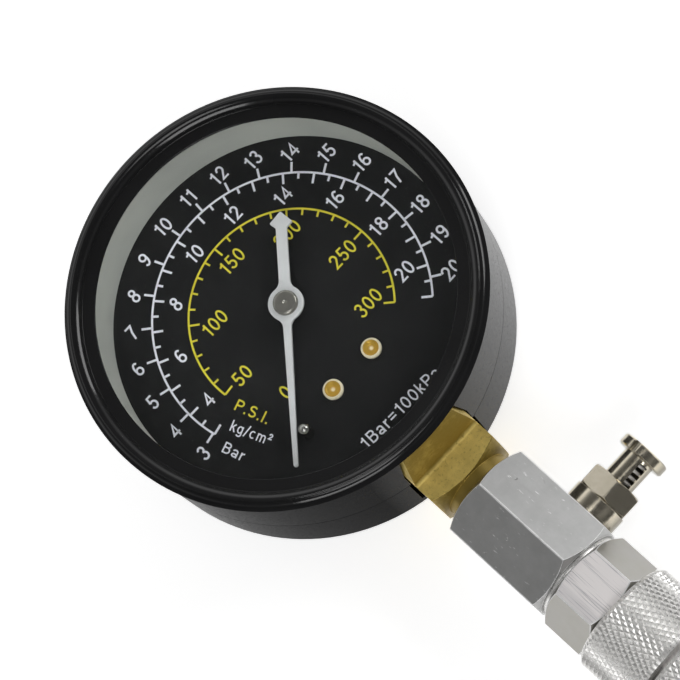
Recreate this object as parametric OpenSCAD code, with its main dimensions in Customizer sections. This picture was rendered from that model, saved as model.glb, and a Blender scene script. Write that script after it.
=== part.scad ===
// Compression tester gauge: a bourdon pressure gauge on a brass socket, a hexagonal aluminium tee
// with a push-button release valve, and a hose coupling with a knurled swivel nut.
// The gauge lies on its back: dial up (+Z), stem along -Y, origin at the centre of the case's back.

/* [Case] */
// Outside diameter of the case
case_d = 78.8; // [77:0.2:84]
// Thickness of the case's wall
case_wall = 2; // [1.6:0.1:2.4]
// Thickness of the case's floor
case_floor = 2; // [1.8:0.1:2.4]
// Rounding of the case's back edge
case_edge = 1.6; // [0.8:0.1:1.8]
// Height of the joint line between back cup and front housing
seam_z = 14.5; // [13.5:0.1:15.5]
// Height of the front housing's rim, which carries the bezel
rim_z = 30; // [29.4:0.1:31]
// Width of the shelf that carries the dial
shelf_w = 2; // [1.5:0.1:2.4]
// Depth of the tongue that centres the front housing in the back cup
tongue_h = 3; // [2:0.1:4]

/* [Bezel and lens] */
// Overhang of the bezel past the case
bezel_lip = 0.6; // [0.4:0.1:1]
// Height of the bezel above the rim
bezel_h = 2.4; // [2.4:0.1:3]
// Width of the bezel's ring, from the case's outside to its opening
bezel_w = 5.3; // [5:0.1:6]
// Width of the bezel's flat lip, inside its bead
bezel_flat_w = 2.3; // [2:0.1:2.6]
// Rounding of the bezel's outer edge
bezel_round = 1.6; // [1:0.1:1.6]
// Thickness of the bezel's skirt inside the case
skirt_t = 1.1; // [0.8:0.1:1.4]
// Rise of the lens's face above the rim
lens_rise = 0.4; // [0.2:0.1:0.6]
// Thickness of the lens
lens_t = 1.5; // [1.2:0.1:2]
// Thickness of the lens gasket
gasket_t = 0.5; // [0.4:0.1:0.8]
// Width of the spacer ring's flanges
spacer_w = 2.8; // [2.4:0.1:3.4]
// Wall of the spacer ring
spacer_wall = 1.2; // [0.8:0.1:1.6]

/* [Dial and pointer] */
// Height of the dial's face
dial_z = 18.2; // [17.8:0.1:18.8]
// Thickness of the dial
dial_t = 0.8; // [0.6:0.1:1]
// Hole for the arbor in the dial
dial_hole_d = 3.4; // [3:0.1:4]
// Distance of each dial screw from the centre line
dial_screw_x = 5.15; // [5:0.05:5.4]
// Distance of the dial screws below the dial's centre
dial_screw_y = 16.5; // [16.3:0.1:17]
// Head diameter of the dial screws
dial_screw_d = 3.9; // [3.4:0.1:4.2]
// Angle of the pointer at rest, counter-clockwise from +X
pointer_rest = 228.1; // [225:0.1:231]
// Length of the pointer from its centre to its tip
pointer_len = 31.1; // [28:0.1:32]
// Length of the pointer's tail
tail_len = 17.9; // [14:0.1:20]
// Gap between dial and pointer
pointer_gap = 2.8; // [2.2:0.1:3.2]
// Thickness of the pointer
pointer_t = 0.6; // [0.4:0.1:0.8]
// Diameter of the pointer's hub
hub_d = 4.8; // [4.6:0.1:5.4]
// Height of the hub's top above the dial
hub_h = 4.3; // [4.2:0.1:5.2]
// Distance of the stop pin from the pointer's arbor
stop_r = 24.3; // [22:0.1:26]
// Diameter of the stop pin
stop_d = 2.3; // [1.6:0.1:2.6]

/* [Socket] */
// Height of the stem's axis above the case's back
stem_z = 12; // [11.8:0.1:12.4]
// Side of the square socket block
block_w = 16; // [14.6:0.1:16.4]
// Length of the block outside the case
block_out = 7.4; // [6.4:0.1:9]
// Length of the shoulder's foot outside the case
shoulder_out = 1.4; // [1.2:0.1:2.4]
// Width of the shoulder at its top, under the bezel
shoulder_w = 12.7; // [10:0.1:13.4]
// Length of the round neck between block and tee
neck_len = 2.7; // [1.5:0.1:4]
// Diameter of the round neck
neck_d = 14; // [12:0.1:14.4]
// Diameter of the pipe threads
thread_d = 9.7; // [9:0.1:10]
// Length of the socket's thread
stub_len = 9.3; // [8:0.1:9.6]
// Bore of the socket
bore_d = 3; // [2:0.1:3.6]

/* [Movement] */
// Place of the pointer's arbor beside the case's axis, towards +X
arbor_x = 0.65; // [0:0.05:0.8]
// Place of the pointer's arbor beside the case's axis, towards +Y
arbor_y = 0.75; // [0:0.05:0.9]
// Mean radius of the bourdon tube
tube_r = 26; // [25.6:0.1:28]
// Height of the tube's flattened section
tube_h = 8; // [6:0.1:8.4]
// Thickness of the tube's flattened section
tube_w = 3; // [2.4:0.1:3.2]
// Wall of the tube
tube_wall = 0.5; // [0.3:0.05:0.7]
// Module of the movement's gears
gear_m = 0.32; // [0.3:0.01:0.33]
// Thickness of the sector
sector_t = 1; // [0.8:0.1:1.2]
// Length of the sector's tail, from its arbor to the link pin
tail_arm = 6.6; // [6:0.1:7]
// Thickness of the movement's plates
plate_t = 1; // [0.8:0.1:1.2]
// Distance between the movement's plates
pillar_h = 5.5; // [5.3:0.1:5.8]
// Height of the seat that carries the movement
seat_z = 7.5; // [7.2:0.1:7.7]

/* [Tee and release valve] */
// Width across flats of the tee
hex_af = 19; // [18:0.5:20]
// Length of the tee
hex_len = 22.6; // [22.4:0.1:24]
// Distance of the release valve from the tee's gauge end
valve_pos = 16.6; // [15.8:0.1:16.7]
// Diameter of the valve's thread
valve_thread_d = 6; // [5.6:0.1:6.1]
// Diameter of the valve's round base
valve_base_d = 10.7; // [9:0.1:11]
// Length of the valve's round base
valve_base_len = 3.2; // [2.6:0.1:4]
// Width across flats of the valve
valve_af = 10; // [9:0.5:10]
// Length of the valve's hexagon
valve_hex_len = 4.6; // [4.2:0.1:6]
// Turn of the valve's hexagon, from a corner up towards -Y
valve_turn = 14; // [0:1:30]
// Diameter of the button's barrel
barrel_d = 6.2; // [5.6:0.1:6.6]
// Length of the barrel outside the valve
barrel_len = 5.5; // [4.6:0.1:7]
// Diameter of the button's head
head_d = 9.7; // [8:0.1:10.4]
// Thickness of the button's head
head_t = 2.2; // [1.8:0.1:3]
// Width of the slot along the barrel
slot_w = 1.8; // [1.2:0.1:2.2]
// Turn of the slot about the barrel, from +Z towards -Y
slot_turn = 44; // [0:1:90]
// Travel of the button
button_travel = 3; // [2:0.1:3]

/* [Hose coupling] */
// Thickness of the sealing washer
washer_t = 0.7; // [0.5:0.1:1.2]
// Width across flats of the coupling body
body_af = 18; // [17.5:0.5:19]
// Length of the coupling body's hexagon
body_hex_len = 10.2; // [9:0.1:12]
// Length of the coupling body's thread in the tee
body_stub_len = 3.5; // [3:0.1:3.6]
// Diameter of the knurled collar and nut
knurl_d = 22.5; // [21.5:0.1:23]
// Length of the knurled collar
collar_len = 13; // [12:0.1:16]
// Gap between collar and nut
nut_gap = 1; // [0.8:0.1:2]
// Length of the knurled nut
nut_len = 14.8; // [13:0.1:18]
// Diameter of the coupling's nose
nose_d = 15; // [14:0.1:15.2]
// Bore of the nut's thread
nut_bore_d = 16; // [15.6:0.1:16.6]
// Bore of the coupling body
body_bore_d = 5; // [4:0.1:6]

/* [Clearances] */
// Clearance of parts that are pressed or screwed together
fit = 0.05; // [0.03:0.01:0.08]
// Clearance of running pivots
run = 0.04; // [0.02:0.01:0.08]
// Clearance between front housing and socket
slot_snug = 0.25; // [0.15:0.05:0.4]
// Clearance between back cup and socket
slot_gap = 0.7; // [0.4:0.1:0.9]
// Clearance of the link's eye around the pin in the tube's tip
eye_gap = 0.4; // [0.3:0.05:0.5]

/* [Hidden] */
$fn = 96;
// Overlap of a cut past the face that it opens
cut = 1;

// Colours
black_paint = "#1b1c1e";
pale_grey = "#b4b6ae";
brass_tone = "#b08d3c";
steel_tone = "#9a9a98";
nickel_tone = "#a59f90";
alu_tone = "#c9cac8";
rubber_tone = "#232323";
lens_tone = "#dfe8ea";
white_paint = "#f2f2f0";

// Case and stack of the dial, spacer ring, gasket, lens and bezel
case_r = case_d / 2;
case_in_r = case_r - case_wall;
shelf_r = case_in_r - shelf_w;
dial_under = dial_z - dial_t;
dial_r = case_in_r - fit;
lens_top = rim_z + lens_rise;
lens_bottom = lens_top - lens_t;
gasket_bottom = lens_bottom - gasket_t;
lens_r = case_in_r - skirt_t - 2 * fit;
bezel_r = case_r + bezel_lip;
bezel_in_r = case_r - bezel_w;
bezel_top = rim_z + bezel_h;
bezel_lip_t = 0.4;
bezel_face_drop = 0.3;
bezel_flat_rise = 0.2;
bezel_foot_r = bezel_in_r + bezel_flat_w;
bezel_foot_z = lens_top + bezel_lip_t + bezel_flat_rise;
bead_ridge_r = bezel_r - bezel_round;
bead_w = bead_ridge_r - bezel_foot_r;
bead_turn = 2 * atan((bezel_top - bezel_foot_z) / bead_w);
bead_r = bead_w / sin(bead_turn);
skirt_lift = 0.2;
spacer_r = case_in_r - spacer_w;
spacer_flange_t = 1;

// Pointer and its hub
pointer_z = dial_z + pointer_gap;
hub_r = hub_d / 2;
hub_groove = 0.7;
hub_neck_r = hub_r - hub_groove;
hub_lift = 1;
hub_round = 0.6;
hub_dimple_r = 0.45;
hub_dimple = 0.3;
pointer_ring_w = 1;
pointer_ring_r = hub_r + pointer_ring_w;
arbor_r = 1.1;
arbor_top = pointer_z + pointer_t;
needle_root_w = 1.65;
needle_stop_w = 1;
needle_tip_w = 0.8;
tail_w = 2.1;
web_r = 2.2;
arrow_w = 4.4;
arrow_len = 2.2;
arrow_neck = 1;
arrow_round = 0.25;
stop_gap = 0.3;
stop_angle = pointer_rest + asin((needle_stop_w / 2 + stop_d / 2 + stop_gap) / stop_r);
stop_rise = 0.7;
stop_lip = 0.3;
stop_shank_r = stop_d / 2 - stop_lip;

// Socket
block_s = case_r + block_out;
shoulder_s = case_r + shoulder_out;
block_z0 = stem_z - block_w / 2;
block_z1 = stem_z + block_w / 2;
block_end_turn = 3.3;
block_end_lean = 25;
inner_gap = 1.6;
inner_top = dial_under - inner_gap;
inner_reach = 4;
inner_s = tube_r - inner_reach;
wall_gap = 0.4;
shoulder_in_s = case_in_r + wall_gap;
foot_s = sqrt(case_in_r ^ 2 - (block_w / 2) ^ 2) - wall_gap;
shoulder_lean = 1.4;
shoulder_fillet = 1;
shoulder_top = rim_z - wall_gap;
tongue_s = 8;
tongue_w = 15.6;
tongue_t = 4;
thread_r = thread_d / 2;
hex_s = block_s + neck_len;
stub_end_s = hex_s + stub_len;
restrictor_d = 4.4;
restrictor_len = 5;
restrictor_hole_d = 0.8;
case_screw_d = 3;
case_screw_head_d = 5.6;
case_screw_edge = 0.2;
case_screw_x = block_w / 2 - case_screw_head_d / 2 - case_screw_edge;
case_screw_s = (tube_r + tube_w / 2 + foot_s) / 2;
case_screw_head_t = 1.5;
case_screw_len = 8;
case_screw_cross = [2.6, 0.6, 1.6];
dial_post_d = 4.4;
dial_screw_shank_d = 2;
dial_screw_len = 4;
dial_screw_lip = 0.3;

// Bourdon tube, link and gears
tube_sink_turn = 4.5;
tube_pocket_turn = 30;
tube_root = 270 - asin(block_w / 2 / tube_r) + tube_sink_turn;
tip_turn = 8;
tip_lip = 0.2;
tip_pin_r = 0.6;
lug_reach = 4.2;
lug_r = tube_r - lug_reach;
lug_w = 3;
tip_mid = -tip_turn / 2;
tip_eye = lug_r * [cos(tip_mid), sin(tip_mid)];
// Teeth of the pinion, and of the full circle that the sector is cut from
pinion_n = 10;
sector_n = 90;
centres = gear_m * (pinion_n + sector_n) / 2;
centre_turn = -45;
arbor_at = [arbor_x, arbor_y];
sector_at = arbor_at + centres * [cos(centre_turn), sin(centre_turn)];
tail_turn = -15;
link_eye = sector_at + tail_arm * [cos(tail_turn), sin(tail_turn)];
link_len = norm(tip_eye - link_eye);
link_turn = atan2(tip_eye.y - link_eye.y, tip_eye.x - link_eye.x);
link_pin_r = 0.6;
link_t = 0.8;
link_w = 2.6;
level_gap = 0.3;
plate_z0 = seat_z + plate_t;
plate_z1 = plate_z0 + pillar_h;
plate_top = plate_z1 + plate_t;
sector_lift = 1.5;
sector_z = plate_z0 + sector_lift;
link_z = sector_z + sector_t + level_gap;
lug_z = link_z + link_t + level_gap;
lug_t = 1;
pinion_over = 0.4;
pinion_z = sector_z - pinion_over;
pinion_t = sector_t + 2 * pinion_over;
pinion_shaft_r = 1;
pivot_r = 0.6;
end_shake = 0.1;
collet_gap = 0.6;
spring_z = pinion_z + pinion_t + collet_gap;
spring_h = 1;
collet_r = 1.7;
spring_gap = 0.1;
spring_in_r = collet_r + spring_gap;
spring_out_r = 5.2;
spring_turns = 4;
spring_steps = 24;
spring_t = 0.25;
stud_r = 0.5;
stud_turn = 60;
sector_arbor_r = 0.8;
sector_body_r = 1.4;
sector_hub_r = 2.6;
sector_mesh = centre_turn + 180;
tooth_pitch = 360 / sector_n;
sector_teeth = 12;
teeth_past_mesh = 1.5;
sector_first = sector_mesh + teeth_past_mesh * tooth_pitch;
sector_end_turn = 1;
sector_steps = 24;
sector_rim = 1.6;
sector_web_w = 1.6;
// Height of a tooth outside and inside the pitch circle, and its width at root, pitch circle and tip
addendum = 0.9 * gear_m;
dedendum = 1.3 * gear_m;
tooth_w = [0.55, 0.38, 0.2] * PI * gear_m;
sector_root_r = gear_m * sector_n / 2 - dedendum;
pinion_root_r = gear_m * pinion_n / 2 - dedendum;

// Places on the movement, along and across the line from the pinion to the sector's arbor
function place(along, across) =
  arbor_at + along * [cos(centre_turn), sin(centre_turn)] + across * [-sin(centre_turn), cos(centre_turn)];
pillar_r = 1.5;
spring_room = 0.6;
pillar_side = 5;
pillar_ahead = 4;
pillar_far = 11.8;
pillar_at = [
  place(-spring_out_r - spring_t - spring_room - pillar_r, 0),
  place(centres + 2 * pillar_r, -pillar_side),
  place(pillar_ahead, -pillar_far)
];
plate_margin = 3.2;
mount_screw_at = [[-2.4, -12.8], [3.4, -11.4]];
mount_screw_r = 0.9;
mount_screw_len = 3;
mount_head_r = 1.5;
screw_head_t = 0.8;
pillar_screw_r = 0.65;
pillar_screw_len = 3;
post_notch = 0.4;

// Tee and release valve
hex_end_s = hex_s + hex_len;
valve_s = hex_s + valve_pos;
port_r = thread_r + fit;
port_lip = 0.6;
mid_r = port_r - port_lip;
stub_clear = 0.3;
flat_x = hex_af / 2;
valve_stand = 0.1;
valve_in_x = mid_r + valve_stand;
base_x = flat_x + valve_base_len;
valve_x = base_x + valve_hex_len;
valve_thread_r = valve_thread_d / 2;
chamber_wall = 0.8;
chamber_r = valve_thread_r - chamber_wall;
seat_sink = 0.5;
seat_in_x = flat_x - seat_sink;
seat_t = 1.2;
seat_out_x = seat_in_x + seat_t;
stem_r = 0.8;
seat_hole_gap = 0.5;
seat_hole_r = stem_r + seat_hole_gap;
barrel_r = barrel_d / 2;
barrel_wall = 0.5;
barrel_end_gap = 0.4;
barrel_in_x = seat_out_x + button_travel + barrel_end_gap;
head_x = valve_x + barrel_len;
head_notch_w = 1.2;
head_notch_d = 0.8;
head_notch_turn = 13;
head_chamfer = 0.3;
stem_sink = 1.2;
seal_t = 1.1;
seal_gap = 0.3;
seal_r = chamber_r - seal_gap;
stem_head_t = 0.6;
coil_wire_r = 0.35;
coil_gap = 0.15;
coil_r = barrel_r - barrel_wall - coil_wire_r - coil_gap;
coil_turns = 9;
coil_steps = 16;
coil_sides = 8;

// Hose coupling
washer_d = 17.6;
body_s = hex_end_s + washer_t;
collar_s = body_s + body_hex_len;
collar_end_s = collar_s + collar_len;
nut_s = collar_end_s + nut_gap;
knurl_r = knurl_d / 2;
knurl_chamfer = 0.8;
nose_r = nose_d / 2;
nut_lip_t = 2;
lip_gap = 0.1;
ring_s = nut_s + nut_lip_t + lip_gap;
ring_t = 1.1;
ring_depth = 0.9;
ring_stand = 0.7;
ring_mouth = 3;
nose_past_ring = 2.6;
nose_s = ring_s + ring_t + nose_past_ring;
cavity_gap = 1.3;
nose_gap = 0.6;
cavity_r = nose_r + cavity_gap;
cavity_s = nose_s + nose_gap;
nut_bore_r = nut_bore_d / 2;
nose_chamfer = 0.5;
seal_ring_r = 6;
seal_wire_r = 0.7;
seal_stand = 0.3;

// Points of an arc about (x, y)
function arc(x, y, r, a0, a1, n = 8) =
  [for (i = [0:n]) let (a = a0 + (a1 - a0) * i / n) [x + r * cos(a), y + r * sin(a)]];

// Places children at a distance along the stem, with their +Z along the stem and +Y up
module on_stem(s) {
  translate([0, -s, stem_z]) rotate([90, 0, 0]) children();
}

// Places children on the pointer's arbor
module on_arbor(z = 0) {
  translate([arbor_at.x, arbor_at.y, z]) children();
}

// Places children on the valve's axis, with their +Z out of the tee
module on_valve(x) {
  translate([x, -valve_s, stem_z]) rotate([0, 90, 0]) children();
}

module tube_between(r_in, r_out, z0, z1) {
  translate([0, 0, z0]) difference() {
    cylinder(r = r_out, h = z1 - z0);
    translate([0, 0, -cut]) cylinder(r = r_in, h = z1 - z0 + 2 * cut);
  }
}

// Radius of the turned end of a hexagonal bar, as a share of half its width across flats
hex_end_share = 0.98;

// Hexagonal bar whose end corners are turned off
module hex_bar(af, length, turn) {
  corner_r = af / 2 / cos(30);
  face_r = af / 2 * hex_end_share;
  outer_r = corner_r + cut;
  drop = (outer_r - face_r) * tan(30);
  intersection() {
    rotate(turn) cylinder(r = corner_r, h = length, $fn = 6);
    rotate_extrude() polygon([
      [0, 0], [face_r, 0], [outer_r, drop], [outer_r, length - drop], [face_r, length], [0, length]
    ]);
  }
}

// Flattened section of the bourdon tube in the radial plane
module tube_section(grow = 0) {
  w = tube_w + 2 * grow;
  h = tube_h + 2 * grow;
  translate([tube_r, stem_z]) {
    square([w, h - w], center = true);
    for (side = [-1, 1]) translate([0, side * (h - w) / 2]) circle(d = w);
  }
}

// Case

module case_screw_cuts(gap) {
  for (side = [-1, 1]) translate([side * case_screw_x, -case_screw_s, 0]) {
    translate([0, 0, -cut]) cylinder(d = case_screw_d + 2 * gap, h = case_screw_len + cut);
    translate([0, 0, -cut]) cylinder(d = case_screw_head_d + 2 * gap, h = cut + end_shake);
    translate([0, 0, end_shake])
      cylinder(d1 = case_screw_head_d + 2 * gap, d2 = case_screw_d + 2 * gap, h = case_screw_head_t);
  }
}

module case_back() {
  slot_half = block_w / 2 + slot_gap;
  color(black_paint) difference() {
    rotate_extrude() polygon(concat(
      [[0, 0]],
      arc(case_r - case_edge, case_edge, case_edge, -90, 0),
      [[case_r, seam_z], [case_in_r, seam_z], [case_in_r, case_floor], [0, case_floor]]
    ));
    translate([-slot_half, -case_r - cut, block_z0 - slot_gap])
      cube([2 * slot_half, case_wall + 3 * cut, case_r]);
    case_screw_cuts(fit);
  }
}

module case_front() {
  half = block_w / 2 + slot_snug;
  top_half = shoulder_w / 2 + slot_snug;
  color(black_paint) difference() {
    rotate_extrude() polygon([
      [case_r, seam_z], [case_r, rim_z], [case_in_r, rim_z], [case_in_r, dial_under],
      [shelf_r, dial_under], [shelf_r, seam_z - tongue_h],
      [case_in_r - fit, seam_z - tongue_h], [case_in_r - fit, seam_z]
    ]);
    translate([-half, -case_r - cut, 0])
      cube([2 * half, case_wall + shelf_w + 3 * cut, inner_top + slot_snug]);
    translate([0, -case_in_r + 1.5 * cut, 0]) rotate([90, 0, 0]) linear_extrude(case_wall + 3 * cut)
      polygon([
        [-half, 0], [half, 0], [half, block_z1],
        [top_half, rim_z + cut], [-top_half, rim_z + cut], [-half, block_z1]
      ]);
  }
}

module bezel() {
  color(black_paint) rotate_extrude() polygon(concat(
    [[bezel_in_r, lens_top], [bezel_in_r, lens_top + bezel_lip_t]],
    arc(bead_ridge_r, bezel_top - bead_r, bead_r, 90 + bead_turn, 90),
    arc(bead_ridge_r, bezel_top - bezel_face_drop - bezel_round, bezel_round, 90, 0),
    [
      [bezel_r, rim_z + bezel_lip_t], [bezel_r - bezel_lip_t, rim_z], [case_in_r - fit, rim_z],
      [case_in_r - fit, gasket_bottom + skirt_lift], [lens_r + fit, gasket_bottom + skirt_lift],
      [lens_r + fit, lens_top]
    ]
  ));
}

module lens() {
  color(lens_tone, 0.3) translate([0, 0, lens_bottom]) cylinder(r = lens_r, h = lens_t);
}

module lens_gasket() {
  color(pale_grey) tube_between(spacer_r, lens_r, gasket_bottom, lens_bottom);
}

module spacer_ring() {
  wall_r = spacer_r + spacer_wall;
  color(pale_grey) rotate_extrude() polygon([
    [spacer_r, dial_z], [dial_r, dial_z],
    [dial_r, dial_z + spacer_flange_t], [wall_r, dial_z + spacer_flange_t],
    [wall_r, gasket_bottom - spacer_flange_t], [dial_r, gasket_bottom - spacer_flange_t],
    [dial_r, gasket_bottom], [spacer_r, gasket_bottom]
  ]);
}

// Dial and pointer

module dial() {
  color(black_paint) difference() {
    translate([0, 0, dial_under]) cylinder(r = dial_r, h = dial_t);
    on_arbor(dial_under - cut) {
      cylinder(d = dial_hole_d, h = dial_t + 2 * cut);
      rotate(stop_angle) translate([stop_r, 0, 0]) cylinder(r = stop_shank_r + fit, h = dial_t + 2 * cut);
    }
    for (side = [-1, 1]) translate([side * dial_screw_x, -dial_screw_y, dial_under - cut])
      cylinder(d = dial_screw_shank_d + 2 * fit, h = dial_t + 2 * cut);
  }
}

module dial_posts() {
  color(brass_tone) for (side = [-1, 1]) translate([side * dial_screw_x, -dial_screw_y, 0])
    difference() {
      translate([0, 0, seat_z]) cylinder(d = dial_post_d, h = dial_under - seat_z);
      translate([0, 0, dial_z - dial_screw_len - cut])
        cylinder(d = dial_screw_shank_d + 2 * fit, h = dial_screw_len + cut);
    }
}

module dial_screws() {
  rim = dial_screw_d / 2;
  shank = dial_screw_shank_d / 2;
  lip = dial_screw_lip;
  color(brass_tone) for (side = [-1, 1]) translate([side * dial_screw_x, -dial_screw_y, dial_z])
    rotate_extrude() polygon([
      [0, -dial_screw_len], [shank, -dial_screw_len], [shank, 0], [rim, 0], [rim, 2 * lip],
      [rim - lip, 3 * lip], [rim - 2 * lip, 3 * lip], [rim - 3 * lip, 2 * lip],
      [2 * lip, 2 * lip], [lip, lip], [0, lip]
    ]);
}

module stop_pin() {
  r = stop_d / 2;
  top = pointer_gap + pointer_t + stop_rise;
  color(steel_tone) on_arbor(dial_z) rotate(stop_angle) translate([stop_r, 0, 0])
    rotate_extrude() polygon(concat(
      [[0, -dial_t], [stop_shank_r, -dial_t], [stop_shank_r, 0], [r, 0]],
      arc(0, top - r, r, 0, 90)
    ));
}

// Outline of the pointer along +X, with its tail along -X
module pointer_outline() {
  neck = tail_len - arrow_len - arrow_neck;
  tip_r = needle_tip_w / 2;
  offset(r = -web_r) offset(delta = web_r) {
    circle(r = pointer_ring_r);
    translate([-neck, -tail_w / 2]) square([neck, tail_w]);
    polygon(concat(
      [[0, -needle_root_w / 2], [stop_r, -needle_stop_w / 2]],
      arc(pointer_len - tip_r, 0, tip_r, -90, 90),
      [[stop_r, needle_stop_w / 2], [0, needle_root_w / 2]]
    ));
  }
  offset(r = arrow_round) offset(delta = -arrow_round) polygon([
    [-neck + tail_w / 2, tail_w / 2], [-neck, tail_w / 2], [-tail_len + arrow_len, arrow_w / 2], [-tail_len, 0],
    [-tail_len + arrow_len, -arrow_w / 2], [-neck, -tail_w / 2], [-neck + tail_w / 2, -tail_w / 2]
  ]);
}

module pointer() {
  color(white_paint) on_arbor(pointer_z) difference() {
    linear_extrude(pointer_t) rotate(pointer_rest) pointer_outline();
    translate([0, 0, -cut]) cylinder(r = hub_neck_r + fit, h = pointer_t + 2 * cut);
  }
}

module pointer_hub() {
  top = dial_z + hub_h;
  bottom = dial_z + hub_lift;
  hole = arbor_r + fit;
  color(steel_tone) on_arbor() rotate_extrude() polygon(concat(
    [
      [hole, bottom], [hub_r, bottom], [hub_r, pointer_z], [hub_neck_r, pointer_z], [hub_neck_r, arbor_top],
      [hub_r, arbor_top]
    ],
    arc(hub_r - hub_round, top - hub_round, hub_round, 0, 90),
    [[hub_dimple_r, top], [0, top - hub_dimple], [0, arbor_top + fit], [hole, arbor_top + fit]]
  ));
}

// Socket

module socket_block() {
  translate([-block_w / 2, -block_s, block_z0]) cube([block_w, block_s - shoulder_in_s, block_w]);
  translate([-block_w / 2, -shoulder_in_s, block_z0])
    cube([block_w, shoulder_in_s - inner_s, inner_top - block_z0]);
  translate([-block_w / 2, -foot_s, case_floor]) cube([block_w, foot_s - inner_s, block_z0 - case_floor]);
}

// Shoulder that fills the housing's notch up to the bezel
module socket_shoulder() {
  intersection() {
    translate([0, -shoulder_in_s, 0]) rotate([90, 0, 0])
      linear_extrude(shoulder_s + shoulder_fillet - shoulder_in_s) polygon([
        [-block_w / 2, stem_z], [block_w / 2, stem_z], [block_w / 2, block_z1],
        [shoulder_w / 2, shoulder_top], [-shoulder_w / 2, shoulder_top], [-block_w / 2, block_z1]
      ]);
    rotate([90, 0, -90]) linear_extrude(block_w, center = true) polygon(concat(
      [[shoulder_in_s, stem_z], [shoulder_s + shoulder_fillet, stem_z]],
      arc(shoulder_s + shoulder_fillet, block_z1 + shoulder_fillet, shoulder_fillet, 270, 180),
      [[shoulder_s - shoulder_lean, shoulder_top], [shoulder_in_s, shoulder_top]]
    ));
  }
}

module socket() {
  corner = block_w / 2 * sqrt(2);
  turned = block_end_turn * tan(block_end_lean);
  color(brass_tone) difference() {
    union() {
      difference() {
        socket_block();
        on_stem(block_s) rotate_extrude() polygon([
          [corner - block_end_turn, 0], [corner, -turned], [corner + cut, -turned],
          [corner + cut, cut], [corner - block_end_turn, cut]
        ]);
      }
      socket_shoulder();
      on_stem(block_s) cylinder(d = neck_d, h = neck_len);
      on_stem(hex_s) cylinder(r = thread_r, h = stub_len);
      translate([-tongue_w / 2, -inner_s, seat_z - tongue_t]) cube([tongue_w, inner_s - tongue_s, tongue_t]);
    }
    on_stem(tube_r - bore_d / 2) cylinder(d = bore_d, h = stub_end_s);
    on_stem(stub_end_s - restrictor_len) cylinder(d = restrictor_d + 2 * fit, h = restrictor_len + cut);
    translate([0, -tube_r + bore_d / 4, stem_z]) rotate([0, -90, 0])
      cylinder(d = bore_d, h = block_w / 2 - cut);
    rotate(tube_root) rotate_extrude(angle = -tube_pocket_turn) tube_section(fit);
    case_screw_cuts(fit);
    for (at = mount_screw_at) translate([at.x, at.y, seat_z - mount_screw_len])
      cylinder(r = mount_screw_r + fit, h = mount_screw_len + cut);
  }
}

module case_screws() {
  color(steel_tone) for (side = [-1, 1]) translate([side * case_screw_x, -case_screw_s, end_shake])
    difference() {
      union() {
        cylinder(d = case_screw_d, h = case_screw_len - 2 * end_shake);
        cylinder(d1 = case_screw_head_d, d2 = case_screw_d, h = case_screw_head_t);
      }
      for (turn = [0, 90]) rotate(turn) cube(case_screw_cross, center = true);
    }
}

module restrictor() {
  color(brass_tone) on_stem(stub_end_s - restrictor_len) difference() {
    cylinder(d = restrictor_d, h = restrictor_len - stub_clear);
    translate([0, 0, -cut]) cylinder(d = restrictor_hole_d, h = restrictor_len + 2 * cut);
  }
}

// Bourdon tube and linkage

module bourdon_tube() {
  color(brass_tone) rotate(tube_root) rotate_extrude(angle = -tube_root) difference() {
    tube_section();
    tube_section(-tube_wall);
  }
}

module tube_tip() {
  color(brass_tone) difference() {
    union() {
      rotate_extrude(angle = -tip_turn) tube_section(tip_lip);
      rotate(tip_mid) translate([lug_r, -lug_w / 2, lug_z]) cube([tube_r - lug_r, lug_w, lug_t]);
      rotate(tip_mid) translate([lug_r, 0, lug_z]) cylinder(d = lug_w, h = lug_t);
    }
    translate([tip_eye.x, tip_eye.y, lug_z - cut]) cylinder(r = tip_pin_r + fit, h = lug_t + 2 * cut);
  }
}

module tip_pin() {
  color(steel_tone) translate([tip_eye.x, tip_eye.y, link_z]) {
    cylinder(r = tip_pin_r, h = lug_z + lug_t - link_z);
    translate([0, 0, lug_z + lug_t - link_z]) cylinder(r = 2 * tip_pin_r, h = level_gap);
  }
}

module link() {
  color(brass_tone) translate([link_eye.x, link_eye.y, link_z]) rotate(link_turn) difference() {
    union() {
      cylinder(d = link_w, h = link_t);
      translate([0, -link_w / 4, 0]) cube([link_len, link_w / 2, link_t]);
      translate([link_len, 0, 0]) cylinder(d = link_w + 2 * eye_gap, h = link_t);
    }
    translate([0, 0, -cut]) cylinder(r = link_pin_r + run, h = link_t + 2 * cut);
    translate([link_len, 0, -cut]) cylinder(r = tip_pin_r + eye_gap, h = link_t + 2 * cut);
  }
}

module link_pin() {
  color(steel_tone) translate([link_eye.x, link_eye.y, sector_z]) {
    cylinder(r = link_pin_r, h = link_z + link_t - sector_z + run);
    translate([0, 0, link_z + link_t - sector_z + run]) cylinder(r = 1.5 * link_pin_r, h = level_gap);
  }
}

// Tooth that stands along +X on a root circle
module tooth(root_r) {
  tip = root_r + dedendum + addendum;
  polygon([
    [root_r - dedendum, -tooth_w[0] / 2], [root_r, -tooth_w[0] / 2], [root_r + dedendum, -tooth_w[1] / 2],
    [tip, -tooth_w[2] / 2], [tip, tooth_w[2] / 2], [root_r + dedendum, tooth_w[1] / 2],
    [root_r, tooth_w[0] / 2], [root_r - dedendum, tooth_w[0] / 2]
  ]);
}

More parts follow.
